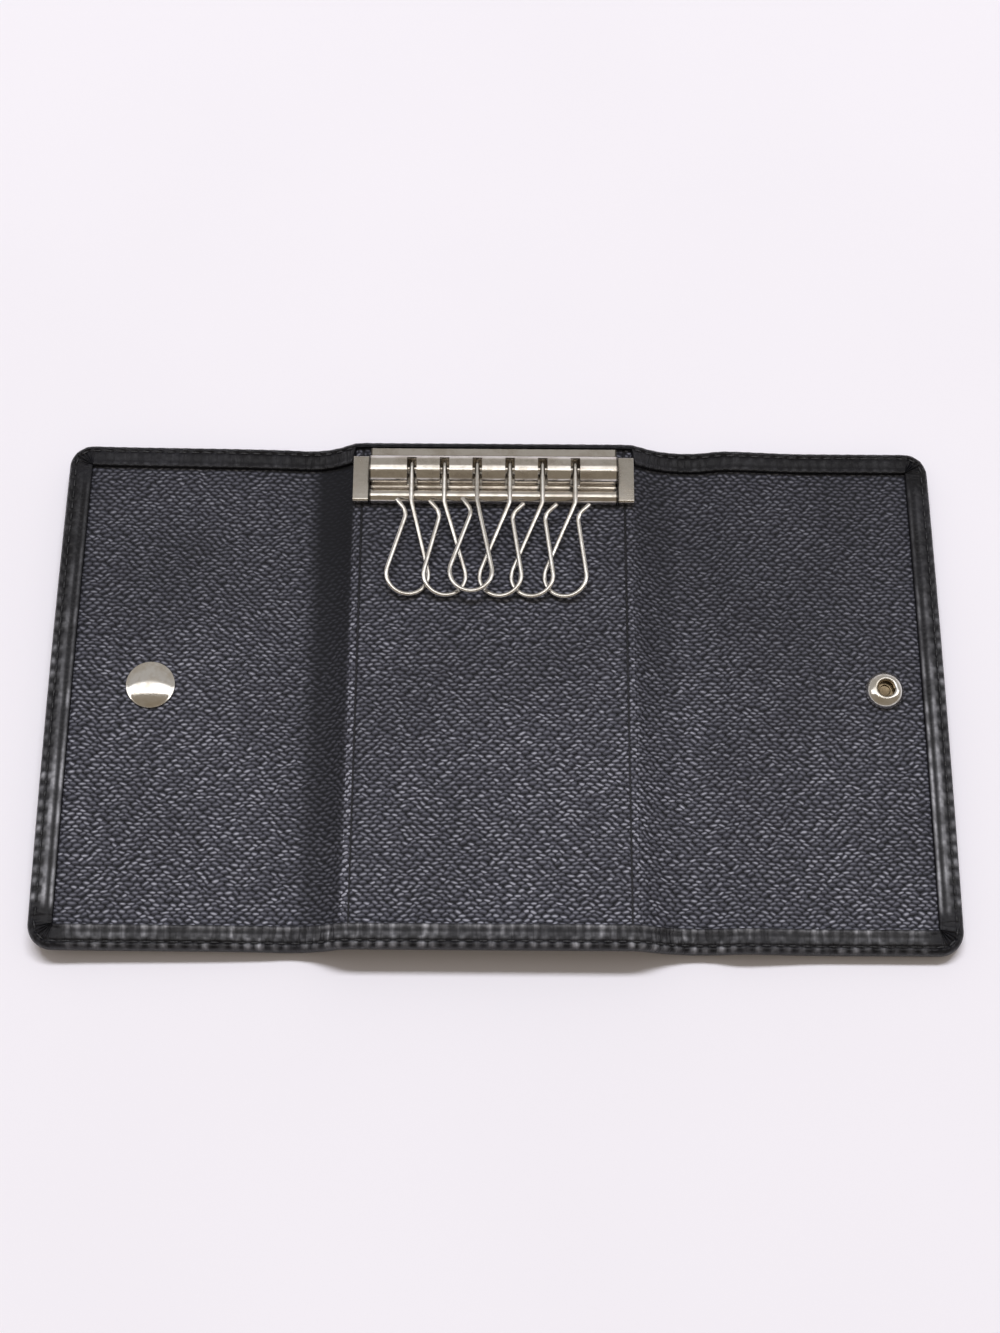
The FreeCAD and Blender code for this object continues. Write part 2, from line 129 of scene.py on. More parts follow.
def newGroup(name, place, numbers, outputs):
    # a shader group with one place and some numbers going in, each with its usual value, and numbers coming out
    tree = bpy.data.node_groups.new(name, "ShaderNodeTree")
    tree.interface.new_socket(place, in_out="INPUT", socket_type="NodeSocketVector")
    for label, value in numbers.items():
        tree.interface.new_socket(label, in_out="INPUT", socket_type="NodeSocketFloat").default_value = value
    for label in outputs:
        tree.interface.new_socket(label, in_out="OUTPUT", socket_type="NodeSocketFloat")
    return tree, tree.nodes.new("NodeGroupInput").outputs, tree.nodes.new("NodeGroupOutput")


def useGroup(group, values):
    return follow("Group", values, node_tree=group).outputs


def newMaterial(name):
    material = bpy.data.materials.new(name)
    material.use_nodes = True
    tree = material.node_tree
    tree.nodes.clear()
    shader = tree.nodes.new("ShaderNodeBsdfPrincipled")
    feed(tree.nodes.new("ShaderNodeOutputMaterial"), {0: shader.outputs[0]})
    return material, tree, shader


# shared surface effects
crossGrainLook = {"driftScale": 240.0, "drift": 1.0 * mm, "swayScale": 45.0, "sway": 0.6, "top": (1.15, 0.1),
                  "body": (2.3, 0.7)}


def crossGrainGroup():
    # short dashes on a diamond lattice, each a little out of place, tilted and toned by itself
    look = crossGrainLook
    tree, start, end = newGroup(
        "crossGrain", "Sheet",
        {"Pitch Along": 1.64 * mm, "Pitch Across": 1.62 * mm, "Dash Length": 0.7 * mm, "Dash Width": 0.28 * mm,
         "Jitter": 0.3, "Tilt": 0.8}, ("Height", "Body", "Tone"))
    drift = follow("TexNoise", {"Vector": start["Sheet"], "Scale": look["driftScale"], "Detail": 1.0},
                   noise_dimensions="2D").outputs[1]
    drift = vectorCalc("SUBTRACT", {0: drift, 1: (0.5, 0.5, 0.5)})
    drift = vectorCalc("SCALE", {0: drift, "Scale": look["drift"]})
    moved = axes(vectorCalc("ADD", {0: start["Sheet"], 1: drift}))
    along = calc("DIVIDE", moved[0], start["Pitch Along"])
    across = calc("DIVIDE", moved[1], start["Pitch Across"])
    right, left = plus(along, across), minus(along, across)
    where = follow("CombineXYZ", {0: right, 1: left}).outputs[0]
    cell = follow("TexVoronoi", {"Vector": where, "Scale": 1.0, "Randomness": start["Jitter"]},
                  voronoi_dimensions="2D", feature="F1")
    centre = axes(cell.outputs["Position"])
    tone = follow("SeparateColor", {0: cell.outputs["Color"]}).outputs
    offRight, offLeft = minus(right, centre[0]), minus(left, centre[1])
    dx = times(plus(offRight, offLeft), times(start["Pitch Along"], 0.5))
    dy = times(minus(offRight, offLeft), times(start["Pitch Across"], 0.5))
    sway = noise(start["Sheet"], look["swayScale"], 1.0, 0.5, "2D")
    turn = times(minus(tone[0], 0.5), start["Tilt"])
    turn = plus(turn, times(minus(sway, 0.5), look["sway"]))
    c, s = calc("COSINE", turn), calc("SINE", turn)
    x = calc("DIVIDE", plus(times(dx, c), times(dy, s)), start["Dash Length"])
    y = calc("DIVIDE", minus(times(dy, c), times(dx, s)), start["Dash Width"])
    reach = calc("SQRT", plus(times(x, x), times(y, y)))
    feed(end, {"Height": ramp(reach, *look["top"]), "Body": ramp(reach, *look["body"]), "Tone": tone[1]})
    return tree


fineGrainLook = {"lumpScale": 320.0, "lumpShare": 0.8, "toneScale": 60.0, "pebble": (0.75, 0.1)}


def fineGrainGroup():
    # generic small pebble of smooth leather
    look = fineGrainLook
    tree, start, end = newGroup("fineGrain", "Place", {"Scale": 1500.0}, ("Height", "Tone"))
    cell = follow("TexVoronoi", {"Vector": start["Place"], "Scale": start["Scale"]}, feature="SMOOTH_F1")
    coarse = noise(start["Place"], look["lumpScale"], 3.0, 0.6)
    pebble = ramp(cell.outputs["Distance"], *look["pebble"])
    feed(end, {"Height": plus(pebble, times(coarse, look["lumpShare"])),
               "Tone": noise(start["Place"], look["toneScale"], 3.0, 0.6)})
    return tree


creaseLook = {"acrossScale": 110.0, "lineWidth": 0.13}


def creaseGroup():
    # narrow wrinkles that run across a turned border
    tree, start, end = newGroup("borderCrease", "Border", {"Spacing": 1.0 * mm}, ("Height",))
    place = axes(start["Border"])
    along = calc("DIVIDE", place[0], start["Spacing"])
    across = times(place[1], creaseLook["acrossScale"])
    where = follow("CombineXYZ", {0: along, 1: across}).outputs[0]
    lines = noise(where, 1.0, 1.5, 0.5, "2D")
    off = calc("ABSOLUTE", minus(lines, 0.5))
    feed(end, {"Height": ramp(off, 0.0, creaseLook["lineWidth"])})
    return tree


tarnishLook = {"patch": (0.38, 0.68), "scratchScale": (120.0, 2600.0, 2600.0)}


def tarnishGroup():
    # soft patches and fine scratches on plated metal
    tree, start, end = newGroup("tarnish", "Place", {"Patch Scale": 220.0}, ("Patch", "Scratch"))
    patch = noise(start["Place"], start["Patch Scale"], 4.0, 0.6)
    drawn = follow("Mapping", {"Vector": start["Place"], "Scale": tarnishLook["scratchScale"]}).outputs[0]
    feed(end, {"Patch": ramp(patch, *tarnishLook["patch"]), "Scratch": noise(drawn, 1.0, 3.0, 0.6)})
    return tree


crossGrain = crossGrainGroup()
fineGrain = fineGrainGroup()
borderCrease = creaseGroup()
tarnish = tarnishGroup()


# finishes
# the later numbers set the lining's painted light: paler towards the front and darker towards the back, a little darker
# towards the right flap, a painted highlight along the fold crests, and painted shade down the spine slopes and in the
# pressed lines
liningLook = {"valley": (0.006, 0.0062, 0.0085, 1), "body": (0.041, 0.041, 0.053, 1),
              "dash": (0.115, 0.115, 0.144, 1), "bright": (0.35, 0.348, 0.41, 1), "bump": 0.5, "height": 0.2 * mm,
              "fineScale": 4200.0, "fineShare": 0.12, "rough": 0.7, "dashGloss": 0.28, "specular": 0.25,
              "cloudScale": 38.0, "cloud": (0.25, 0.75, 0.8, 1.15), "backToFront": (0.68, 1.26),
              "middleToRight": (1.02, 0.88), "leastPaintedLight": 0.05, "crestHighlight": (1.5, 0.45), "crestBackToFront": (0.05, 1.3),
              "crestStart": (0.1 * mm, 0.5 * mm), "crestEnd": (2.0 * mm, 1.6 * mm), "slopeShade": (0.7, 0.2),
              "slopeStart": (0.2 * mm, -0.5 * mm), "slopeEnd": (-11.5 * mm, -7.0 * mm), "lineShade": 0.75,
              "lineEdge": (0.45 * mm, 0.12 * mm)}


def dress(shader, look, colour, rough, height):
    feed(shader, {"Base Color": colour, "Roughness": rough, "Specular IOR Level": look["specular"],
                  "Normal": bumped(look["bump"], look["height"], height)})


def liningPaintedLight(sheetPlace):
    # painted light on the dashes: a painted highlight along each fold's crest, paler towards the front and darker
    # towards the back, a little darker towards the right flap, and painted shade down in the spines and in the pressed
    # lines
    look = liningLook
    place = axes(sheetPlace)
    # painted light: paler towards the front, darker towards the back, and a little darker towards the right flap
    wearAndPaintedLight = ramp(place[1], half, -half, *look["backToFront"])
    wearAndPaintedLight = times(wearAndPaintedLight, ramp(place[0], sRightFold, sRightOuter, *look["middleToRight"]))
    for (fold, side), crestHighlight, shade in zip(foldSides, look["crestHighlight"], look["slopeShade"]):
        away = times(minus(place[0], fold), side)
        # a painted highlight along the fold's crest, stronger towards the front
        paintedHighlight = times(ramp(away, *look["crestStart"]), ramp(away, *look["crestEnd"]))
        paintedHighlight = times(paintedHighlight, ramp(place[1], 0.6 * half, -0.7 * half, *look["crestBackToFront"]))
        # painted shade down the spine slope and in the pressed line beside the fold
        sunk = times(ramp(away, *look["slopeStart"]), ramp(away, *look["slopeEnd"]))
        wearAndPaintedLight = plus(wearAndPaintedLight, times(paintedHighlight, crestHighlight))
        wearAndPaintedLight = minus(wearAndPaintedLight, times(sunk, shade))
        off = calc("ABSOLUTE", minus(away, sheet["pressedLine"]))
        wearAndPaintedLight = minus(wearAndPaintedLight, ramp(off, *look["lineEdge"], 0.0, look["lineShade"]))
    return calc("MAXIMUM", wearAndPaintedLight, look["leastPaintedLight"])


def liningMaterial():
    look = liningLook
    material, tree, shader = newMaterial("crossGrainLining")
    sheetPlace = addNode(tree, "ShaderNodeUVMap", uv_map="sheet").outputs[0]
    place = objectPlace(tree)
    grain = useGroup(crossGrain, {"Sheet": sheetPlace})
    fine = useGroup(fineGrain, {"Place": place, "Scale": look["fineScale"]})
    cloud = ramp(noise(place, look["cloudScale"]), *look["cloud"])
    # the painted light, broken into random cloudy patches
    wearAndPaintedLight = times(liningPaintedLight(sheetPlace), cloud)
    # the dash tops are coloured palest and the valleys between the dashes darkest: partly the grain's own tone, partly
    # painted highlight on the tops and painted shade in the valleys
    tone = times(calc("POWER", grain["Tone"], 2.0), wearAndPaintedLight)
    top = blendColours(tone, look["dash"], look["bright"])
    share = times(grain["Height"], wearAndPaintedLight)
    colour = blendColours(times(grain["Body"], wearAndPaintedLight), look["valley"], look["body"])
    height = plus(grain["Height"], times(fine["Height"], look["fineShare"]))
    rough = minus(look["rough"], times(share, look["dashGloss"]))
    dress(shader, look, blendColours(share, colour, top), rough, height)
    return material


# the palest colour here is a painted highlight on the border's puckers and ridges
coverLook = {"deep": (0.004, 0.0039, 0.0053, 1), "face": (0.0105, 0.0103, 0.0136, 1),
             "worn": (0.035, 0.035, 0.041, 1), "wornShare": 0.4, "paintedHighlight": (0.56, 0.556, 0.6, 1), "sheenScale": 200.0,
             "sheenGloss": 0.1, "rough": (0.3, 0.75, 0.32, 0.48), "creaseSpacing": 1.5 * mm, "creaseShade": 0.75,
             "creaseDepth": 1.3, "pebble": (0.0, 0.5, 0.55, 0.22), "bump": 0.8, "height": 0.14 * mm,
             "specular": 0.26, "faceTone": (0.35, 0.7), "wornHeight": (0.6, 1.4), "wornTone": (0.45, 0.75),
             "sheenPatch": (0.36, 0.66, 0.25, 1.0), "sheenHeight": (0.3, 1.2, 0.65, 1.0)}


def coverMaterial():
    # the mark hem says where the border is turned over; the other mark says where pale colour is painted on as
    # highlight, on the tops of the puckers and the ridges
    look = coverLook
    material, tree, shader = newMaterial("coverLeather")
    place = objectPlace(tree)
    border = addNode(tree, "ShaderNodeUVMap", uv_map="border").outputs[0]
    onHem, rub = (addNode(tree, "ShaderNodeAttribute", attribute_name=k).outputs["Fac"] for k in ("hem", "rub"))
    grain = useGroup(fineGrain, {"Place": place})
    crease = useGroup(borderCrease, {"Border": border, "Spacing": look["creaseSpacing"]})
    fold = times(minus(1.0, crease["Height"]), onHem)
    colour = blendColours(ramp(grain["Tone"], *look["faceTone"]), look["deep"], look["face"])
    wearAndPaintedLight = times(ramp(grain["Height"], *look["wornHeight"]), ramp(grain["Tone"], *look["wornTone"]))
    colour = blendColours(times(wearAndPaintedLight, look["wornShare"]), colour, look["worn"])
    # painted highlight: pale colour in patches on the raised grain of the puckers and ridges
    rub = times(rub, ramp(noise(place, look["sheenScale"], 2.0, 0.6), *look["sheenPatch"]))
    rub = times(rub, ramp(grain["Height"], *look["sheenHeight"]))
    colour = blendColours(rub, colour, look["paintedHighlight"])
    rough = ramp(grain["Tone"], *look["rough"])
    pebble = times(grain["Height"], ramp(onHem, *look["pebble"]))
    height = minus(pebble, times(fold, look["creaseDepth"]))
    colour = blendColours(times(fold, look["creaseShade"]), colour, look["deep"])
    dress(shader, look, colour, minus(rough, times(rub, look["sheenGloss"])), height)
    return material


threadLook = {"dark": (0.006, 0.006, 0.007, 1), "pale": (0.045, 0.045, 0.05, 1), "twistScale": 2600.0, "bump": 0.6,
              "height": 0.06 * mm, "rough": 0.5, "specular": 0.5, "twist": (0.3, 0.7)}


def threadMaterial():
    look = threadLook
    material, tree, shader = newMaterial("blackThread")
    twist = noise(objectPlace(tree), look["twistScale"], 2.0, 0.6)
    dress(shader, look, blendColours(ramp(twist, *look["twist"]), look["dark"], look["pale"]), look["rough"], twist)
    return material


# bright and dull colour, roughness, scale of the patches, strength of the scratches
metalLook = {
    "railNickel": ((0.66, 0.625, 0.58, 1), (0.46, 0.415, 0.36, 1), 0.15, 260.0, 0.25),
    "clipNickel": ((0.56, 0.53, 0.485, 1), (0.4, 0.36, 0.31, 1), 0.18, 260.0, 0.25),
    "hookNickel": ((0.78, 0.76, 0.73, 1), (0.55, 0.515, 0.47, 1), 0.16, 420.0, 0.15),
    "snapNickel": ((0.82, 0.8, 0.775, 1), (0.6, 0.54, 0.45, 1), 0.13, 300.0, 0.1),
    # the brass is coloured darker than bare brass, as painted shade down in the snap's hollow
    "shadedBrass": ((0.3, 0.235, 0.15, 1), (0.13, 0.095, 0.06, 1), 0.26, 700.0, 0.3),
}
# patches and scratches of the plating, and a painted shade in the gap where the rail cover meets its clips
metalWearAndGapShade = {"patchShare": 0.75, "patchRough": 0.1, "scratchRough": 0.1, "scratchDepth": 0.02 * mm,
             "gapShade": (0.05, 0.042, 0.035, 1), "gapShadeWidth": (0.45 * mm, 0.2 * mm), "gapShadeShare": 0.9}


def metalMaterial(name, joint=None):
    bright, dull, gloss, patchScale, scratch = metalLook[name]
    wearAndPaintedLight = metalWearAndGapShade
    material, tree, shader = newMaterial(name)
    place = objectPlace(tree)
    marks = useGroup(tarnish, {"Place": place, "Patch Scale": patchScale})
    colour = blendColours(times(marks["Patch"], wearAndPaintedLight["patchShare"]), bright, dull)
    if joint:
        # painted shade in the narrow gap between two pieces, the same distance out on either side
        out = minus(axes(place)[0], (joint[0].x + joint[1].x) / 2)
        gap = minus(calc("ABSOLUTE", out), (joint[1].x - joint[0].x) / 2)
        share = ramp(calc("ABSOLUTE", gap), *wearAndPaintedLight["gapShadeWidth"], 0.0, wearAndPaintedLight["gapShadeShare"])
        colour = blendColours(share, colour, wearAndPaintedLight["gapShade"])
    rough = ramp(marks["Patch"], 0.0, 1.0, gloss, gloss + wearAndPaintedLight["patchRough"])
    rough = plus(rough, times(minus(marks["Scratch"], 0.5), wearAndPaintedLight["scratchRough"]))
    feed(shader, {"Base Color": colour, "Roughness": rough, "Metallic": 1.0,
                  "Normal": bumped(scratch, wearAndPaintedLight["scratchDepth"], marks["Scratch"])})
    return material


cover = coverMaterial()
thread = threadMaterial()
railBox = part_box("rail_cover")
railNickel, clipNickel = (metalMaterial(name, railBox) for name in ("railNickel", "clipNickel"))
hookNickel, snapNickel, shadedBrass = (metalMaterial(name) for name in ("hookNickel", "snapNickel", "shadedBrass"))
print("finishes ready")


# the leather sheet: one bent line across, carried along Y
sheet = {
    "half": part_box("middle_cover")[1].y, "thick": 3.3 * mm, "liningDepth": 0.9 * mm, "liningBack": 1.02 * mm,
    "floorDepth": 1.06 * mm, "hem": 5.0 * mm, "railHem": 1.4 * mm, "corner": 5.0 * mm, "cornerSteps": 42,
    "edgeRound": 1.1 * mm, "leftFlap": 48.2 * mm, "rightFlap": 45.2 * mm, "leftSlope": radians(3.78),
    "foldSoftness": 1.35 * mm, "step": 0.45 * mm, "pressedLine": 2.1 * mm, "leftDroop": 1.5 * mm,
    "rightDroop": 1.15 * mm, "rightDroopLength": 19.0 * mm, "floorRows": 16, "liningRows": 40,
    "liningTuck": 0.35 * mm, "sharp": 50, "droopPower": 1.8, "hemChange": (0.3 * mm, 0.5 * mm),
    "lineStep": 0.11 * mm, "leastStep": 0.06 * mm, "clearEnd": 0.05 * mm, "lineDent": (0.2, 0.32),
    "foldDent": (0.12, 0.25),
}
leftFold, leftOuter, rightFold, rightOuter = (
    Vector(joints[name]["pos_m"]) for name in ("left_fold", "left_flap_fold", "right_fold", "right_flap_fold"))


def valleyLine(inner, outer, lowest, count=160):
    # circle through both fold lines, dipping to the lowest level between them
    high, low = inner.z - lowest, outer.z - lowest
    run = abs(outer.x - inner.x)
    chord = hypot(run, high - low)
    dip = (high * run - chord * sqrt(high * low)) / (high - low)
    radius = (dip * dip / high + high) / 2
    side = copysign(1, outer.x - inner.x)
    along = np.linspace(0, run, count)
    rise = lowest + radius - np.sqrt(radius ** 2 - (along - dip) ** 2)
    return [(inner.x + side * a, z) for a, z in zip(along, rise)]


def sheetLine():
    slope = sheet["leftSlope"]
    start = (leftOuter.x - sheet["leftFlap"] * cos(slope), leftOuter.z + sheet["leftFlap"] * sin(slope))
    end = (rightOuter.x + sheet["rightFlap"], rightOuter.z)
    points = [start] + valleyLine(leftFold, leftOuter, sheet["thick"])[::-1]
    points += valleyLine(rightFold, rightOuter, sheet["thick"]) + [end]
    points = np.array(points)
    # even spacing, then softened so that no fold is a sharp corner
    gaps = np.hypot(*np.diff(points, axis=0).T)
    length = np.concatenate([[0], np.cumsum(gaps)])
    fine = 0.05 * mm
    even = np.arange(0, length[-1], fine)
    line = np.column_stack([np.interp(even, length, points[:, i]) for i in (0, 1)])
    reach = int(4 * sheet["foldSoftness"] / fine)
    kernel = np.exp(-0.5 * (np.arange(-reach, reach + 1) * fine / sheet["foldSoftness"]) ** 2)
    kernel /= kernel.sum()
    soft = []
    for i in (0, 1):
        front = 2 * line[0, i] - line[reach:0:-1, i]
        back = 2 * line[-1, i] - line[-2:-reach - 2:-1, i]
        soft.append(np.convolve(np.concatenate([front, line[:, i], back]), kernel, mode="valid"))
    x, z = soft
    travel = np.concatenate([[0], np.cumsum(np.hypot(np.diff(x), np.diff(z)))])
    travel -= np.interp((leftFold.x + rightFold.x) / 2, x, travel)
    dx, dz = np.gradient(x, travel), np.gradient(z, travel)
    return {"s": travel, "x": x, "z": z, "nx": -dz, "nz": dx}


line = sheetLine()


def sAt(x):
    return float(np.interp(x, line["x"], line["s"]))


def lineAt(s):
    return [np.interp(s, line["s"], line[k]) for k in ("x", "z", "nx", "nz")]


# how far each bend reaches before and after its fold line, and where the spines meet the flaps
seam = {"inner": (1.6 * mm, 3.2 * mm), "outer": (2.6 * mm, 2.6 * mm), "valleyLeft": -38.6 * mm,
        "valleyRight": 37.2 * mm}
sLeftFold, sRightFold, sLeftOuter, sRightOuter, sValleyLeft, sValleyRight = (
    sAt(x) for x in (leftFold.x, rightFold.x, leftOuter.x, rightOuter.x, seam["valleyLeft"], seam["valleyRight"]))
sLeftEnd, sRightEnd = float(line["s"][0]), float(line["s"][-1])
foldSides = ((sLeftFold, 1), (sRightFold, -1))
half = sheet["half"]
lining = liningMaterial()


def smooth(value, low, high):
    t = np.clip((value - low) / (high - low), 0, 1)
    return t * t * (3 - 2 * t)


def droop(s, y):
    # the flaps hang a little at their front and back edges, where nothing holds them up
    edge = np.abs(y / half) ** sheet["droopPower"]
    left = sheet["leftDroop"] * smooth(-s, -sLeftOuter, -sLeftEnd) * edge
    right = sheet["rightDroop"] * smooth(s, sRightOuter, sRightOuter + sheet["rightDroopLength"]) * edge
    return left + right


def onSheet(s, y, depth):
    # a place on the sheet: length across from the middle, Y, and depth below the border's top
    s, y, depth = (np.asarray(v, float) for v in (s, y, depth))
    x, z, nx, nz = lineAt(s)
    return np.stack([x - nx * depth, y + 0 * s, z - nz * depth - droop(s, y)], axis=-1)


stitch = {"inset": 1.55 * mm, "pitch": 2.7 * mm, "length": 1.75 * mm, "radius": 0.17 * mm, "sunk": 0.05 * mm,
          "sharp": 80}
# heights in millimetres, then each part's place from the edge and its width, in millimetres, and its share
border = {"pucker": 0.11, "groove": 0.17, "ridge": 0.17, "rimPucker": 0.15, "rimPitch": 2.15 * mm, "pleat": 0.16,
          "pleats": 6, "edgeRidge": 0.25, "cornerRidge": 0.1, "spotSharpness": 3, "creaseReach": 9.0,
          "sideCrease": 0.07, "seamLine": (1.55, 0.25), "outerRoll": (1.0, 0.32), "innerRoll": (2.2, 0.4),
          "ridgeLine": (2.95, 0.3), "ridgeDip": (3.75, 0.4, 0.7), "ridgeRim": (4.55, 0.22, 0.9), "rim": (4.55, 0.3),
          # the rest place the painted highlight over the border's width, and keep it away from the ends and corners
          "sheenRim": (4.4, 0.42, 1.3), "sheenSlope": (3.1, 0.6, 0.8), "sheenRidge": (2.95, 0.36, 0.9),
          "sheenRidgeRim": (4.45, 0.3, 0.95), "sheenInnerRoll": (2.25, 0.3, 0.6), "sheenOuterRoll": (1.0, 0.4, 0.9),
          "sheenFromEnd": (6.0 * mm, 8.5 * mm), "sheenFromEdge": (7.5 * mm, 10.0 * mm)}


def bell(d, centre, width, top=1.0):
    return top * exp(-((d - centre) / width) ** 2)


def near(d, part):
    return bell(d, *border[part])


def borderRelief(d, travel, ridge, pleat, share):
    # depth of the turned border over its width, in millimetres from the edge
    pull = cos(2 * pi * travel / stitch["pitch"])
    rim = cos(2 * pi * travel / border["rimPitch"])
    depth = border["groove"] * near(d, "seamLine")
    depth -= border["pucker"] * (1 + pull) * near(d, "outerRoll")
    depth -= border["pucker"] * (0.8 + 0.7 * pull) * near(d, "innerRoll")
    depth -= ridge * border["ridge"] * (near(d, "ridgeLine") - near(d, "ridgeDip") + near(d, "ridgeRim"))
    depth -= (1 - ridge) * border["rimPucker"] * (1 + rim) * near(d, "rim")
    depth += pleat * border["pleat"] * float(smooth(d, 0.6, 1.8)) * float(1 - smooth(d, 3.6, 5.0))
    return depth * share * mm


def spots(travel, pitch):
    # rounded pulses, each moved and weighted by itself
    k = round(travel / pitch)
    chance = sin(k * 12.9898 + pitch * 4000) * 437.585 % 1
    gap = abs(travel / pitch - k - 0.3 * (chance - 0.5))
    return (0.35 + 0.65 * chance) * max(0.0, cos(pi * min(0.5, gap))) ** border["spotSharpness"]


def borderPaintedSheen(d, travel, ridge, y):
    # painted highlight: pale colour on the tops of the puckers and on the two ridges of the side borders, stronger
    # towards the front
    stitched, rim = spots(travel, stitch["pitch"]), spots(travel, border["rimPitch"])
    flat = (1 - ridge) * (near(d, "sheenRim") * rim + near(d, "sheenSlope") * rim ** 2)
    side = ridge * (near(d, "sheenRidge") + near(d, "sheenRidgeRim"))
    rolls = (near(d, "sheenInnerRoll") + near(d, "sheenOuterRoll")) * stitched
    front = (1.0 - float(smooth(y, -0.6 * half, 0.75 * half))) * 0.85 + 0.08
    return min(1.0, flat + side + rolls) * front


edgeTurn = [pi * (k / 8 - 0.5) for k in range(9)]
topWidths = [1.32, 1.55, 1.78, 2.05, 2.35, 2.7, 3.1, 3.4, 3.65, 3.85, 4.0, 4.15, 4.35, 4.55, 4.75, 4.9]


def borderSection(width, travel, ridge, pleat, y):
    # (inset, depth, hem mark, painted highlight) from under the sheet, round its edge, over the border, down to the
    # lining
    thick, r = sheet["thick"], sheet["edgeRound"]
    points = [(sheet["hem"], thick, 0, 0), (3.2 * mm, thick, 0, 0), (1.9 * mm, thick, 0, 0)]
    for a in edgeTurn:
        lift = borderRelief(1.0, travel, 0, 0, 1) * max(0, sin(a)) ** 2
        rub = borderPaintedSheen(1.0, travel, 0, y) * float(smooth(a, 0.5, 1.1))
        points.append((r * (1 - cos(a)), thick / 2 * (1 - sin(a)) + lift, 0.5 if a > 0.3 else 0, rub))
    squeeze = (width - r) / (sheet["hem"] - r)
    for d in topWidths:
        depth = borderRelief(d, travel, ridge, pleat, squeeze ** 2)
        points.append((r + (d * mm - r) * squeeze, depth, 1, borderPaintedSheen(d, travel, ridge, y) * squeeze))
    points += [(width - 0.02 * mm * squeeze, 0.14 * mm, 1, 0), (width, 0.4 * mm, 1, 0),
               (width, sheet["floorDepth"], 0, 0)]
    return points


def columns(low, high):
    # stations across the sheet, closer together where lines are pressed in
    count = max(2, int(round(abs(high - low) / sheet["step"])))
    found = set(np.round(np.linspace(low, high, count + 1), 9))
    for centre in (sLeftFold, sLeftFold + sheet["pressedLine"], sRightFold, sRightFold - sheet["pressedLine"]):
        for k in range(-6, 7):
            s = round(centre + k * sheet["lineStep"], 9)
            if min(low, high) + sheet["clearEnd"] < s < max(low, high) - sheet["clearEnd"]:
                found.add(s)
    found = sorted(found)
    keep = [found[0]]
    for s in found[1:-1]:
        if s - keep[-1] > sheet["leastStep"]:
            keep.append(s)
    return keep + found[-1:]


def railHem(s):
    # behind the rail the border is narrow
    out, into = sheet["hemChange"]
    inside = smooth(s, sLeftFold - out, sLeftFold + into) * (1 - smooth(s, sRightFold - into, sRightFold + out))
    return float(sheet["hem"] + (sheet["railHem"] - sheet["hem"]) * inside)


def addObject(name, data):
    thing = bpy.data.objects.new(name, data)
    bpy.context.scene.collection.objects.link(thing)
    return thing


def addFace(faces, corners):
    # a face without the corners that come twice, if anything is left of it
    kept = [c for i, c in enumerate(corners) if c != corners[i - 1]]
    if len(set(kept)) > 2:
        faces.append(kept)


def joinRings(rings):
    # faces between each ring of places and the next
    faces = []
    for a, b in zip(rings, rings[1:]):
        for k in range(len(a)):
            n = (k + 1) % len(a)
            addFace(faces, (a[k], a[n], b[n], b[k]))
    return faces


def newMesh(name, places, edges, faces):
    mesh = bpy.data.meshes.new(name)
    mesh.from_pydata([tuple(p) for p in places], edges, faces)
    return mesh


def madeMesh(thing):
    # what the thing's modifiers make of it
    graph = bpy.context.evaluated_depsgraph_get()
    return bpy.data.meshes.new_from_object(thing.evaluated_get(graph))


def meshObject(name, mesh, material, sharp):
    work = bmesh.new()
    work.from_mesh(mesh)
    bmesh.ops.recalc_face_normals(work, faces=work.faces)
    for f in work.faces:
        f.smooth = True
    work.to_mesh(mesh)
    work.free()
    mesh.set_sharp_from_angle(angle=radians(sharp))
    mesh.materials.clear()
    mesh.materials.append(material)
    return addObject(name, mesh)


class SheetMesh:
    # collects places on the sheet and faces between them
    def __init__(self):
        self.seen, self.rows, self.faces = {}, [], []

    def at(self, s, y, depth, border=(0.0, 0.02), hem=0.0, rub=0.0):
        key = (round(s, 7), round(y, 7), round(depth, 7))
        if key not in self.seen:
            self.seen[key] = len(self.rows)
            self.rows.append((s, y, depth, border[0], border[1], hem, rub))
        return self.seen[key]

    def strip(self, a, b):
        for i in range(len(a) - 1):
            addFace(self.faces, (a[i], b[i], b[i + 1], a[i + 1]))

    def strips(self, *groups):
        for group in groups:
            for a, b in zip(group, group[1:]):
                self.strip(a, b)

    def closeEnd(self, front, floor, back, under):
        self.faces.append(front + floor[1:-1] + back[::-1] + under[::-1][1:-1])

    def finish(self, name, material):
        rows = np.array(self.rows)
        mesh = newMesh(name, onSheet(*rows[:, :3].T).tolist(), [], self.faces)
        corner = np.zeros(len(mesh.loops), np.int32)
        mesh.loops.foreach_get("vertex_index", corner)
        for label, pick in (("sheet", (0, 1)), ("border", (3, 4))):
            layer = mesh.uv_layers.new(name=label)
            layer.data.foreach_set("uv", rows[corner][:, pick].astype(np.float32).ravel())
        for label, pick in (("hem", 5), ("rub", 6)):
            mark = mesh.attributes.new(label, "FLOAT", "POINT")
            mark.data.foreach_set("value", rows[:, pick].astype(np.float32))
        return meshObject(name, mesh, material, sheet["sharp"])


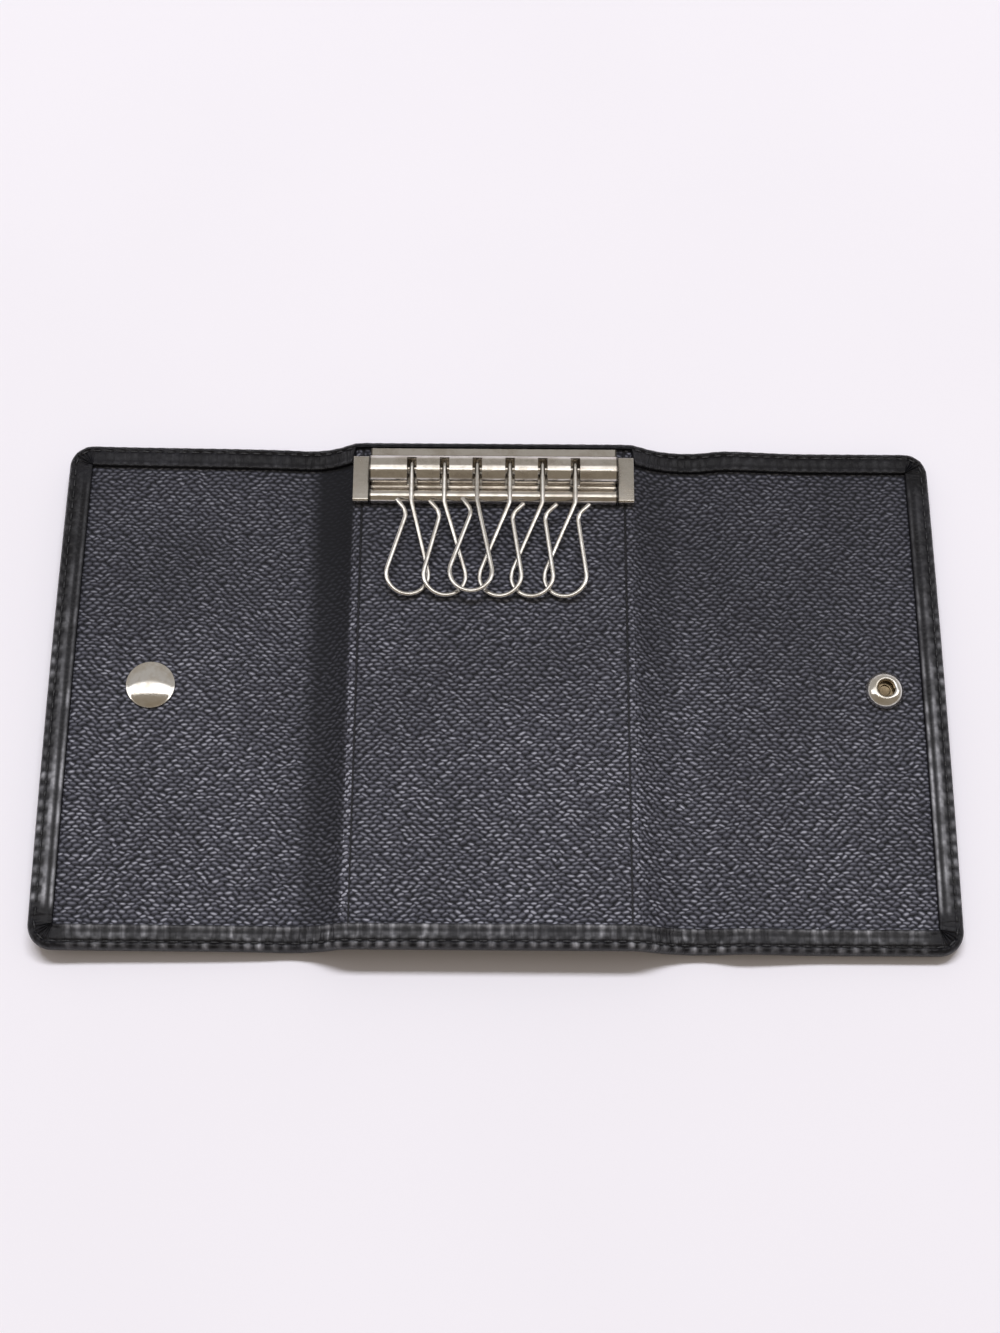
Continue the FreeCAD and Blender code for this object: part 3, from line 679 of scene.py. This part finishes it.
def stationRow(mesh, outline, inward, travel, width, ridge, pleat=0.0):
    # one section of the border; side borders are smooth, the others crease, most of all in the valleys
    valley = sum(bell(outline[0] / mm, s / mm, border["creaseReach"]) for s in (sValleyLeft, sValleyRight))
    crease = border["sideCrease"] if ridge > 0.5 else 0.5 + 0.5 * valley
    # the painted highlight fades out near the corners, where the sheet's ends meet its front and back edges
    toEnd = min(outline[0] - sLeftEnd, sRightEnd - outline[0])
    toEdge = half - abs(outline[1])
    clear = float(max(smooth(toEnd, *border["sheenFromEnd"]), smooth(toEdge, *border["sheenFromEdge"])))
    row = []
    for inset, depth, hem, rub in borderSection(width, travel, ridge, pleat, outline[1]):
        row.append(mesh.at(outline[0] + inward[0] * inset, outline[1] + inward[1] * inset, depth,
                           (travel, inset), hem * crease, rub * clear))
    return row


def coverStrip(name, low, high):
    # a stretch of the sheet with a border at its front and back only
    mesh = SheetMesh()
    front, back, floor, under = [], [], [], []
    for s in columns(low, high):
        width = railHem(s)
        front.append(stationRow(mesh, (s, -half), (0, 1), s, sheet["hem"], border["edgeRidge"]))
        back.append(stationRow(mesh, (s, half), (0, -1), s, width, border["edgeRidge"]))
        for group, depth, k, inset in ((floor, "floorDepth", -1, width), (under, "thick", 0, sheet["hem"])):
            ys = np.linspace(-half + sheet["hem"], half - inset, sheet["floorRows"])[1:-1]
            group.append([front[-1][k]] + [mesh.at(s, y, sheet[depth]) for y in ys] + [back[-1][k]])
    mesh.strips(front, back, floor, under)
    for k in (0, -1):
        mesh.closeEnd(front[k], floor[k], back[k], under[k])
    return mesh.finish(name, cover)


def flapStations(inner, outer):
    # outline of a flap: front edge, corner, outer edge, corner, back edge
    side = copysign(1, outer - inner)
    r, quarter = sheet["corner"], pi / 2
    turn = outer - side * r
    across = columns(inner, turn)
    across = across if side > 0 else across[::-1]
    count = int(round((2 * half - 2 * r) / sheet["step"]))
    yEdge = list(np.linspace(-half + r, half - r, count + 1))

    def corner(start, centre, travel):
        found = []
        for k in range(1, sheet["cornerSteps"]):
            a = quarter * (k / sheet["cornerSteps"] - 1)
            swept, a = a + quarter, a + start
            pleat = cos(4 * border["pleats"] * swept) * sin(2 * swept) ** 0.5
            found.append(((turn + side * r * cos(a), centre + r * sin(a)),
                          (-side * cos(a), -sin(a)), travel + r * swept, border["cornerRidge"], pleat))
        return found

    stations = [((s, -half), (0, 1), side * s, border["edgeRidge"], 0.0) for s in across]
    travel = side * turn
    stations += corner(0, -half + r, travel)
    travel += r * quarter
    for y in yEdge:
        ridge = float(smooth(half - abs(y), r, r + 3 * mm))
        stations.append(((outer, y), (-side, 0), travel + y - yEdge[0], ridge, 0.0))
    travel += yEdge[-1] - yEdge[0]
    stations += corner(quarter, half - r, travel)
    travel += r * quarter
    stations += [((s, half), (0, -1), travel + abs(turn - s), border["edgeRidge"], 0.0) for s in across[::-1]]
    return stations, across, yEdge


def coverFlap(name, inner, outer):
    mesh = SheetMesh()
    stations, across, yEdge = flapStations(inner, outer)
    loops = [stationRow(mesh, o, d, t, sheet["hem"], ridge, pleat) for o, d, t, ridge, pleat in stations]
    mesh.strips(loops)
    floor, under = ([[mesh.at(s, y, sheet[depth]) for y in yEdge] for s in across] for depth in ("floorDepth", "thick"))
    mesh.strips(floor, under)
    mesh.closeEnd(loops[0], floor[0], loops[-1], under[0])
    return mesh.finish(name, cover)


def pressed(s):
    # lines pressed into the lining, at each fold and beside it
    depth = 0.0
    for fold, side in foldSides:
        for place, (deep, width) in ((side * sheet["pressedLine"], sheet["lineDent"]), (0, sheet["foldDent"])):
            depth += deep * bell((s - fold - place) / mm, 0, width)
    return depth * mm


def liningSheet(name, low, high, outer=0):
    # thin sheet over the floor, tucked under the border; outer is the side where a flap ends
    mesh = SheetMesh()
    inset = sheet["hem"] - sheet["liningTuck"]
    a = low + inset if outer < 0 else low
    b = high - inset if outer > 0 else high
    tops, backs = [], []
    for s in columns(a, b):
        yBack = half - (inset if outer else railHem(s) - sheet["liningTuck"])
        ys = np.linspace(-half + inset, yBack, sheet["liningRows"])
        for group, depth in ((tops, "liningDepth"), (backs, "liningBack")):
            group.append([mesh.at(s, y, sheet[depth] + pressed(s)) for y in ys])
    mesh.strips(tops, backs)
    for k in (0, -1):
        mesh.strip([r[k] for r in tops], [r[k] for r in backs])
        mesh.strip(tops[k], backs[k])
    return mesh.finish(name, lining)


# stitching along the border, one run of Geometry Nodes for each stretch
def stitchTree():
    tree = bpy.data.node_groups.new("stitchRow", "GeometryNodeTree")
    tree.interface.new_socket("Geometry", in_out="INPUT", socket_type="NodeSocketGeometry")
    for label, kind in (("Stitches", "NodeSocketInt"), ("Stitch Length", "NodeSocketFloat"),
                        ("Thread Radius", "NodeSocketFloat"), ("Thread", "NodeSocketMaterial")):
        tree.interface.new_socket(label, in_out="INPUT", socket_type=kind)
    tree.interface.new_socket("Geometry", in_out="OUTPUT", socket_type="NodeSocketGeometry")
    start = tree.nodes.new("NodeGroupInput").outputs

    def step(kind, values):
        return addNode(tree, "GeometryNode" + kind, values).outputs[0]

    path = step("MeshToCurve", {0: start["Geometry"]})
    path = step("ResampleCurve", {"Curve": path, "Count": start["Stitches"]})
    ball = step("MeshUVSphere", {"Segments": 8, "Rings": 6, "Radius": 1.0})
    tangent = step("InputTangent", {})
    turn = addNode(tree, "FunctionNodeAlignRotationToVector", {"Vector": tangent}, axis="X").outputs[0]
    thick = start["Thread Radius"]
    size = follow("CombineXYZ", {0: times(start["Stitch Length"], 0.5), 1: thick, 2: thick}).outputs[0]
    row = step("InstanceOnPoints", {"Points": path, "Instance": ball, "Rotation": turn, "Scale": size})
    row = step("SetMaterial", {"Geometry": step("RealizeInstances", {0: row}), "Material": start["Thread"]})
    feed(tree.nodes.new("NodeGroupOutput"), {0: row})
    return tree


stitchRow = stitchTree()


def stitchRun(name, path):
    # path: places (s, y, travel) along the row; stitches keep step with the puckers of the border
    travel = np.array([p[2] for p in path])
    first = np.ceil(travel[0] / stitch["pitch"] - 0.5) + 0.5
    last = np.floor(travel[-1] / stitch["pitch"] - 0.5) + 0.5
    count = int(round(last - first)) + 1
    at = np.linspace(first, last, (count - 1) * 6 + 1) * stitch["pitch"]
    s = np.interp(at, travel, [p[0] for p in path])
    y = np.interp(at, travel, [p[1] for p in path])
    points = onSheet(s, y, stitch["sunk"])
    steps = [(i, i + 1) for i in range(len(points) - 1)]
    thing = addObject(name, newMesh(name, points.tolist(), steps, []))
    nodesOn = thing.modifiers.new("stitches", "NODES")
    nodesOn.node_group = stitchRow
    sockets = {i.name: i.identifier for i in stitchRow.interface.items_tree if i.in_out == "INPUT"}
    for label, value in (("Stitches", count), ("Stitch Length", stitch["length"]),
                         ("Thread Radius", stitch["radius"]), ("Thread", thread)):
        nodesOn[sockets[label]] = value
    return thing


def stitchPiece(name, paths):
    runs = [stitchRun("%s.run%d" % (name, i), p) for i, p in enumerate(paths)]
    work = bmesh.new()
    for run in runs:
        made = madeMesh(run)
        work.from_mesh(made)
        bpy.data.meshes.remove(made)
    mesh = bpy.data.meshes.new(name)
    work.to_mesh(mesh)
    work.free()
    for run in runs:
        bpy.data.objects.remove(run)
    return meshObject(name, mesh, thread, stitch["sharp"])


def straightPath(low, high, y, step=0.3 * mm):
    count = int((high - low) / step)
    return [(s, y, s) for s in np.linspace(low, high, count + 1)]


def flapPath(inner, outer):
    stations = flapStations(inner, outer)[0]
    inset = stitch["inset"]
    return [(o[0] + d[0] * inset, o[1] + d[1] * inset, t) for o, d, t, ridge, pleat in stations]


# put the leather together
sMiddleLeft, sMiddleRight = sAt(leftFold.x + seam["inner"][0]), sAt(rightFold.x - seam["inner"][0])
stitchFront, stitchBack = -half + stitch["inset"], half - stitch["inset"]


def leatherPieces(label, low, high, backRun=None):
    # cover, lining and stitching of a stretch; behind the rail there is no stitching at the back
    runs = [(low, high, stitchFront)] + ([(*backRun, stitchBack)] if backRun else [])
    return [coverStrip(label + "Cover", low, high), liningSheet(label + "Lining", low, high),
            stitchPiece(label + "Stitching", [straightPath(*run) for run in runs])]


def flapPieces(label, inner, outer):
    low, high = sorted((inner, outer))
    return [coverFlap(label + "Cover", inner, outer),
            liningSheet(label + "Lining", low, high, copysign(1, outer - inner)),
            stitchPiece(label + "Stitching", [flapPath(inner, outer)])]


middle = leatherPieces("middle", sMiddleLeft, sMiddleRight)
leftInner = leatherPieces("leftSpine", sValleyLeft, sMiddleLeft, (sValleyLeft, sLeftFold - 1 * mm))
rightInner = leatherPieces("rightSpine", sMiddleRight, sValleyRight, (sRightFold + 1 * mm, sValleyRight))
leftFlap = flapPieces("leftFlap", sValleyLeft, sLeftEnd)
rightFlap = flapPieces("rightFlap", sValleyRight, sRightEnd)
for piece in middle:
    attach(piece, "middle")
for pieces, first, second, fold, side, (before, after) in (
        (leftInner, "middle", "left_spine", leftFold, -1, seam["inner"]),
        (leftFlap, "left_spine", "left_flap", leftOuter, -1, seam["outer"]),
        (rightInner, "middle", "right_spine", rightFold, 1, seam["inner"]),
        (rightFlap, "right_spine", "right_flap", rightOuter, 1, seam["outer"])):
    for piece in pieces:
        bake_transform(piece)
for pieces, label in ((middle, "middle"), (leftInner, "left_spine"), (leftFlap, "left_flap"),
                      (rightInner, "right_spine"), (rightFlap, "right_flap")):
    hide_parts(label + "_cover")
    if label + "_stiffener" in nodes:
        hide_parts(label + "_stiffener")
    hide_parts(label + "_lining")
print("leather ready")


# hooks: one round wire each, bent like the CAD wire
hook = {"radius": 0.5 * mm, "eye": 1.2 * mm, "eyeTurn": 250, "arm": 7.2 * mm,
        "armBend": (14.0, 17.0, 12.0, 22.5, 23.5, 23.5), "armBendRadius": 3.0 * mm, "longSide": 15.0 * mm,
        "loopRadius": 4.4 * mm, "loopTurn": 211.5, "shortSide": 11.3 * mm, "neckRadius": 2.6 * mm,
        "neckTurn": 55.0, "tip": 2.1 * mm, "droop": (5.4, 5.1, 1.5, 4.1, 4.1, 4.1),
        "twist": (10.0, 10.0, 0.0, 10.0, 10.0, 10.0), "turned": (4, 5, 6), "sides": 14, "step": 5,
        "endRings": ((0.2, 0.88), (0.45, 0.55)), "sharp": 70}


def wireLine(moves, place, right, ahead):
    up = right.cross(ahead)
    points = [place.copy()]
    for length, radius, turn in moves:
        if radius == 0:
            place = place + ahead * length
            points.append(place.copy())
            continue
        centre = place - right * copysign(radius, turn)
        count = ceil(abs(turn) / hook["step"])
        for k in range(count):
            spin = Matrix.Rotation(radians(turn * (k + 1) / count), 3, up)
            points.append(centre + spin @ (place - centre))
        place = points[-1].copy()
        right, ahead = spin @ right, spin @ ahead
    return points


def wireMesh(name, points):
    # round wire with rounded ends, its rings carried along without twisting
    radius, sides = hook["radius"], hook["sides"]
    places = [np.array(p) for p in points]
    ways = []
    for i in range(len(places)):
        way = places[min(i + 1, len(places) - 1)] - places[max(i - 1, 0)]
        ways.append(way / np.linalg.norm(way))
    rings = [(p, 1.0, w) for p, w in zip(places, ways)]
    for out, share in hook["endRings"]:
        first, last = places[0] - ways[0] * radius * out, places[-1] + ways[-1] * radius * out
        rings = [(first, share, ways[0])] + rings + [(last, share, ways[-1])]
    across = np.cross(ways[0], (0.3, 0.9, 0.2))
    verts, rows = [], []
    for place, share, way in rings:
        across = across - way * np.dot(across, way)
        across /= np.linalg.norm(across)
        other = np.cross(way, across)
        rows.append(list(range(len(verts), len(verts) + sides)))
        for k in range(sides):
            a = 2 * pi * k / sides
            verts.append(place + (across * cos(a) + other * sin(a)) * radius * share)
    faces = joinRings(rows) + [rows[0][::-1], rows[-1]]
    return meshObject(name, newMesh(name, verts, [], faces), hookNickel, hook["sharp"])


def hookWire(number):
    lean = -1 if number in hook["turned"] else 1
    armBend, droop, twist = (hook[k][number - 1] for k in ("armBend", "droop", "twist"))
    ahead, up = Vector((0, -1, 0)), Vector((0, 0, hook["eye"]))
    right = Matrix.Rotation(radians(-lean * twist), 3, ahead) @ Vector((-1, 0, 0))
    moves = [(hook["arm"], 0, 0), (0, hook["armBendRadius"], lean * armBend), (hook["longSide"], 0, 0),
             (0, hook["loopRadius"], -lean * hook["loopTurn"]), (hook["shortSide"], 0, 0),
             (0, hook["neckRadius"], lean * hook["neckTurn"]), (hook["tip"], 0, 0)]
    eye = [Matrix.Rotation(radians(-hook["step"] * k), 3, "X") @ up
           for k in range(ceil(hook["eyeTurn"] / hook["step"]), 0, -1)]
    points = eye + wireLine(moves, up, right, ahead)
    lower = Matrix.Rotation(radians(droop), 3, "X")
    pivot = Vector(joints["hook_%d_swing" % number]["pos_m"])
    points = [pivot + lower @ p for p in points]
    return wireMesh("hookWire%d" % number, points)


for number in range(1, 7):
    wire = hookWire(number)
    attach(wire, "hook_%d" % number)
    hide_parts("hook_%d" % number)
print("hooks ready")


# rail and clips: the CAD shapes with worn, rounded edges
rail = {"flat": radians(1.0), "bevelFrom": radians(35), "bevelSteps": 3, "sharp": 32,
        "coverEdge": 0.09 * mm, "clipEdge": 0.16 * mm}


def softened(name, node, material, width):
    work = bmesh.new()
    work.from_mesh(nodes[node].data)
    bmesh.ops.remove_doubles(work, verts=work.verts, dist=tiny)
    bmesh.ops.dissolve_limit(work, angle_limit=rail["flat"], verts=work.verts, edges=work.edges)
    mesh = bpy.data.meshes.new(name + "Plain")
    work.to_mesh(mesh)
    work.free()
    plain = addObject(name + "Plain", mesh)
    bevel = plain.modifiers.new("edges", "BEVEL")
    bevel.width, bevel.segments, bevel.limit_method = width, rail["bevelSteps"], "ANGLE"
    bevel.angle_limit, bevel.use_clamp_overlap = rail["bevelFrom"], True
    made = madeMesh(plain)
    made.name = name
    bpy.data.objects.remove(plain)
    return meshObject(name, made, material, rail["sharp"])


for name, node, finish, width in (("railCover", "rail_cover", railNickel, rail["coverEdge"]),
                                  ("clipLeft", "end_clip_left", clipNickel, rail["clipEdge"]),
                                  ("clipRight", "end_clip_right", clipNickel, rail["clipEdge"])):
    piece = softened(name, node, finish, width)
    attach(piece, "middle")
    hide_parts(node)
for node, finish in (("rail_base", railNickel), ("rail_axle", railNickel), ("snap_spring", shadedBrass)):
    nodes[node].data.materials.clear()
    nodes[node].data.materials.append(finish)
print("rail ready")


# snap fastener: pieces turned on the flaps, their profiles (radius, height) in millimetres above the lining
snap = {"leftFromFold": 27.4 * mm, "rightFromFold": 32.5 * mm, "segments": 72, "sharp": 45, "under": -2.4}


def rounded(points, radius, count=5):
    # profile with its inner corners rounded off
    found = [Vector(points[0])]
    for before, here, after in zip(points, points[1:], points[2:]):
        before, here, after = (Vector(v) for v in (before, here, after))
        cut = min(radius, (before - here).length * 0.45, (after - here).length * 0.45)
        p, q = here + (before - here).normalized() * cut, here + (after - here).normalized() * cut
        for k in range(count + 1):
            t = k / count
            found.append((1 - t) ** 2 * p + 2 * t * (1 - t) * here + t * t * q)
    return [tuple(v) for v in found + [Vector(points[-1])]]


def domeLine(radius, crown, base, count=14):
    ball = (radius ** 2 + crown ** 2) / (2 * crown)
    spread = asin(radius / ball)
    return [(ball * sin(spread * k / count), base + crown - ball + ball * cos(spread * k / count))
            for k in range(count + 1)]


def turned(name, profile, s):
    # the profile is turned about the sheet's own upright
    x, z, nx, nz = (float(v) for v in lineAt(s))
    up = Vector((nx, 0, nz)).normalized()
    along = Vector((up.z, 0, -up.x))
    base = Vector((x, 0, z)) - up * sheet["liningDepth"]
    count = snap["segments"]
    verts, rows = [], []
    for radius, height in profile:
        onAxis = radius < tiny
        rows.append([len(verts)] * count if onAxis else list(range(len(verts), len(verts) + count)))
        for k in range(1 if onAxis else count):
            a = 2 * pi * k / count
            way = along * cos(a) + Vector((0, 1, 0)) * sin(a)
            verts.append(base + up * height * mm + way * radius * mm)
    if profile[0][0] > tiny:
        rows.append(rows[0])
    return meshObject(name, newMesh(name, verts, [], joinRings(rows)), snapNickel, snap["sharp"])


def snapPieces():
    sLeft, sRight = sLeftOuter - snap["leftFromFold"], sRightOuter + snap["rightFromFold"]
    low = snap["under"]
    post = domeLine(4.75, 1.35, 0.5) + rounded(
        [(4.75, 0.5), (5.0, 0.42), (5.0, 0.02), (4.6, 0.0), (0.9, 0.0), (0.9, -4.35), (0, -4.35)], 0.14)[1:]
    stud = rounded(
        [(0.95, low), (3.6, low), (3.6, low - 0.4), (1.45, low - 0.4), (1.45, low - 1.35), (1.8, low - 1.45),
         (1.8, low - 2.05), (0.95, low - 2.05), (0.95, low)], 0.16)
    socket = rounded(
        [(1.65, 0.0), (4.0, 0.0), (4.0, 0.6), (3.72, 1.2), (3.2, 1.75), (2.6, 2.15), (2.15, 2.3), (1.85, 2.15),
         (1.85, 1.85), (2.9, 1.5), (3.45, 1.0), (3.65, 0.35), (1.65, 0.35), (1.65, 0.0)], 0.3)
    cap = rounded(
        [(0, 0.1), (1.1, 0.1), (1.1, 0.6), (2.15, 0.6), (2.2, 0.36), (1.6, 0.3), (1.6, low), (4.6, low),
         (5.0, low - 0.05), (5.0, low - 0.4), (4.75, low - 0.46)], 0.12)
    cap += [(r, low - 0.46 - z) for r, z in domeLine(4.75, 0.94, 0.0)[::-1]][1:]
    return (("snapPost", post, sLeft, "left_snap_post", "left_flap"),
            ("snapStud", stud, sLeft, "snap_stud", "left_flap"),
            ("snapSocket", socket, sRight, "snap_socket", "right_flap"),
            ("snapOuterCap", cap, sRight, "right_snap_cap", "right_flap"))


for name, profile, s, node, body in snapPieces():
    piece = turned(name, profile, s)
    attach(piece, body)
    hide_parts(node)
    if name == "snapOuterCap":
        # its eyelet, down inside the socket, is brass, coloured darker as painted shade of the hollow
        piece.data.materials.append(shadedBrass)
        for f in piece.data.polygons:
            f.material_index = 1 if f.center.z > rightOuter.z - sheet["liningDepth"] else 0
print("snaps ready")


# floor, light and camera
stageLook = {"floor": (0.9, 0.87, 0.93, 1), "floorShade": 0.985, "floorSize": 3.0, "floorRough": 0.8,
             "floorSpecular": 0.1, "worldBack": (0.44, 0.42, 0.395, 1), "worldFront": (0.27, 0.232, 0.182, 1),
             "worldSkirt": (0.8, 0.78, 0.8, 1), "worldLight": 1.0, "floorPatchScale": 9.0,
             "floorPatch": (0.3, 0.7), "frontToBack": (-0.45, 0.5), "skirt": (0.2, 0.06)}


def floorPlane():
    look = stageLook
    r = look["floorSize"]
    mesh = newMesh("floor", [(-r, -r, 0), (r, -r, 0), (r, r, 0), (-r, r, 0)], [], [(0, 1, 2, 3)])
    floor = addObject("floor", mesh)
    material, tree, shader = newMaterial("paleFloor")
    tone = ramp(noise(objectPlace(tree), look["floorPatchScale"]), *look["floorPatch"])
    shaded = tuple(look["floorShade"] * c for c in look["floor"][:3]) + (1,)
    feed(shader, {"Base Color": blendColours(tone, look["floor"], shaded), "Roughness": look["floorRough"],
                  "Specular IOR Level": look["floorSpecular"]})
    mesh.materials.append(material)


def aim(thing, place, right, up, back):
    thing.matrix_world = Matrix((right, up, back)).transposed().to_4x4()
    thing.location = place


def areaLight(name, place, size, power, colour, matt, gloss):
    # the lamp looks at the case, with its first side level; matt and gloss say which surfaces it lights
    data = bpy.data.lights.new(name, "AREA")
    data.shape, data.size, data.size_y = "RECTANGLE", *size
    data.energy, data.color = power, colour
    lamp = addObject(name, data)
    back = Vector(place).normalized()
    level = Vector((0, 1, 0)).cross(back) if abs(back.z) > 0.95 else Vector((0, 0, 1)).cross(back)
    level.normalize()
    aim(lamp, place, level, back.cross(level), back)
    lamp.visible_diffuse, lamp.visible_glossy = matt, gloss


def studioWorld():
    # a pale room behind the case, a darker and warmer one in front of it, and a pale skirting all round
    look = stageLook
    world = bpy.data.worlds.new("studio")
    bpy.context.scene.world = world
    world.use_nodes = True
    tree = world.node_tree
    way = axes(addNode(tree, "ShaderNodeTexCoord").outputs["Generated"])
    room = blendColours(ramp(way[1], *look["frontToBack"]), look["worldFront"], look["worldBack"])
    room = blendColours(ramp(way[2], *look["skirt"]), room, look["worldSkirt"])
    feed(tree.nodes["Background"], {0: room, 1: look["worldLight"]})


lamps = (
    ("keyBar", (0.0, 3.1, 5.71), (5.0, 0.8), 368.0, (0.94, 0.96, 1.0), True, False),
    ("topPanel", (0.0, 0.15, 1.14), (4.6, 0.5), 9.4, (0.98, 0.98, 1.0), False, True),
    ("frontStrip", (0.0, -0.143, 1.14), (4.6, 0.085), 5.6, (1.0, 0.98, 0.96), False, True),
)
view = {"target": (0.352 * mm, 6.157 * mm, 0), "distance": 373.84 * mm, "azimuth": -0.434, "elevation": 70.63,
        "roll": 0.779, "focal": 1788.3, "imageHeight": 1333}


def setCamera():
    a, e, r = (radians(view[k]) for k in ("azimuth", "elevation", "roll"))
    back = Vector((sin(a) * cos(e), -cos(a) * cos(e), sin(e)))
    right = Vector((0, 0, 1)).cross(back).normalized()
    up = back.cross(right)
    right, up = right * cos(r) + up * sin(r), up * cos(r) - right * sin(r)
    data = bpy.data.cameras.new("camera")
    data.sensor_width = 36.0
    data.lens = view["focal"] / view["imageHeight"] * data.sensor_width
    data.clip_start, data.clip_end = 0.01, 20.0
    camera = addObject("camera", data)
    aim(camera, Vector(view["target"]) + back * view["distance"], right, up, back)
    bpy.context.scene.camera = camera


floorPlane()
for lamp in lamps:
    areaLight(*lamp)
studioWorld()
setCamera()
bpy.context.scene.view_settings.view_transform = "Standard"
